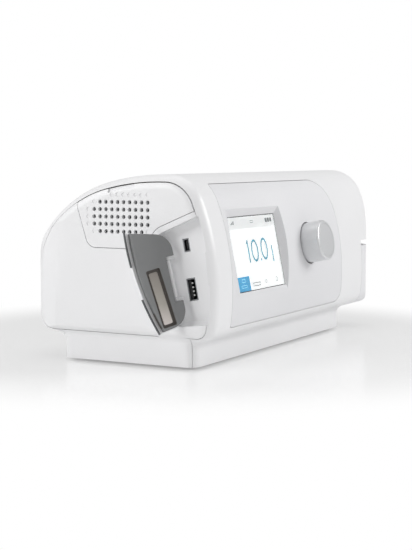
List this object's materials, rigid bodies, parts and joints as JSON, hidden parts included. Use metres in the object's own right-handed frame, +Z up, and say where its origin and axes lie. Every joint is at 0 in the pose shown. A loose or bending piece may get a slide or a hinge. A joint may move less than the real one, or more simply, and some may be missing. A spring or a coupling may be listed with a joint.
{
  "type": "bilevel pap machine",
  "caption": "Bedside bilevel breathing-pressure machine with a screen, a push-and-turn knob, a grille cover, a hinged port door and a hose outlet at the back.",
  "frame": {"origin": "middle of the footprint of the machine with its door open, on the table under the feet", "axes": "+X to the right seen from the front, +Y to the back where the hose fits, +Z up"},
  "size_m": [0.2846, 0.174, 0.116],
  "materials": {
    "white_shell": "smooth moulded plastic with a soft gloss",
    "end_white": "smooth moulded plastic with a soft gloss",
    "silver_panel": "silver-grey plastic with a satin sheen",
    "screen_glass": "clear cover glass",
    "black_plastic": "black moulded plastic",
    "grey_plastic": "grey moulded plastic",
    "green_board": "circuit board with green solder mask",
    "steel": "bright steel",
    "silver_knob": "satin silver finish",
    "ribbon": "flat ribbon cable",
    "grey_rubber": "soft grey rubber",
    "door_liner": "soft mid-grey moulding",
    "bright_strip": "bright strip with a warm cast",
    "dark_lip": "soft dark grey lip",
    "plated_can": "plated sheet metal",
    "filter_cloth": "fine white filter cloth",
    "foam": "open-cell sound-absorbing foam",
    "white_fan": "white moulded impeller",
    "clear_grey": "pale grey moulded plastic"
  },
  "bodies": {
    "housing": {"front_shell": "white_shell", "main_shell": "white_shell", "bottom_case": "white_shell", "side_cover": "white_shell", "dock_wall": "end_white", "front_panel": "silver_panel", "screen_glass": "screen_glass", "lcd_module": "black_plastic", "display_frame": "grey_plastic", "display_board": "green_board", "main_board": "green_board", "port_board": "green_board", "power_board": "green_board", "encoder_body": "steel", "board_chips": "black_plastic", "ribbon_cable": "ribbon", "rubber_feet": "grey_rubber", "case_screws": "steel", "hinge_pin": "steel", "usb_socket": "plated_can", "usb_tongue": "black_plastic", "service_socket": "plated_can", "service_tongue": "black_plastic", "filter_tray": "grey_plastic", "air_filter": "filter_cloth", "muffler_box": "grey_plastic", "muffler_lid": "grey_plastic", "muffler_foam": "foam", "inlet_gasket": "grey_rubber", "blower_case_inlet": "grey_plastic", "blower_case_motor": "grey_plastic", "blower_saddle": "grey_plastic", "rubber_mounts": "grey_rubber", "motor_can": "steel", "motor_bearings": "steel", "outlet_duct": "grey_rubber", "outlet_spigot": "clear_grey", "flow_sensor": "black_plastic", "power_jack": "black_plastic", "speaker": "black_plastic"},
    "knob_push": {"encoder_plunger": "black_plastic"},
    "knob": {"knob": "silver_knob", "knob_cap": "silver_knob", "encoder_shaft": "steel"},
    "port_door": {"port_door": "white_shell", "door_liner": "door_liner", "door_insert": "bright_strip", "door_lips": "dark_lip"},
    "filter_cover": {"filter_cover": "white_shell"},
    "end_cover": {"end_cover": "end_white"},
    "fan": {"rotor": "steel", "impeller": "white_fan"}
  },
  "joints": [
    {"name": "knob_push", "type": "slide", "parent": "housing", "child": "knob_push", "axis": [0, 0.9806, -0.1959], "range_m": [0, 0.0006], "stiffness_N_per_m": 1500},
    {"name": "knob_turn", "type": "hinge", "parent": "knob_push", "child": "knob", "pos_m": [0.02231, -0.07181, 0.0685], "axis": [0, -0.9806, 0.1959], "continuous": true},
    {"name": "port_door_swing", "type": "hinge", "parent": "housing", "child": "port_door", "pos_m": [-0.11829, -0.04496, 0.05465], "axis": [0, 0.2419, 0.9703], "range_deg": [0, 122]},
    {"name": "filter_cover_tilt", "type": "hinge", "parent": "housing", "child": "filter_cover", "pos_m": [-0.11889, -0.00891, 0.0726], "axis": [0, -1, 0], "range_deg": [0, 25]},
    {"name": "end_cover_pull", "type": "slide", "parent": "housing", "child": "end_cover", "axis": [1, 0, 0], "range_m": [0, 0.03]},
    {"name": "fan_spin", "type": "hinge", "parent": "housing", "child": "fan", "pos_m": [0.05031, 0.00334, 0.066], "axis": [1, 0, 0], "continuous": true}
  ]
}
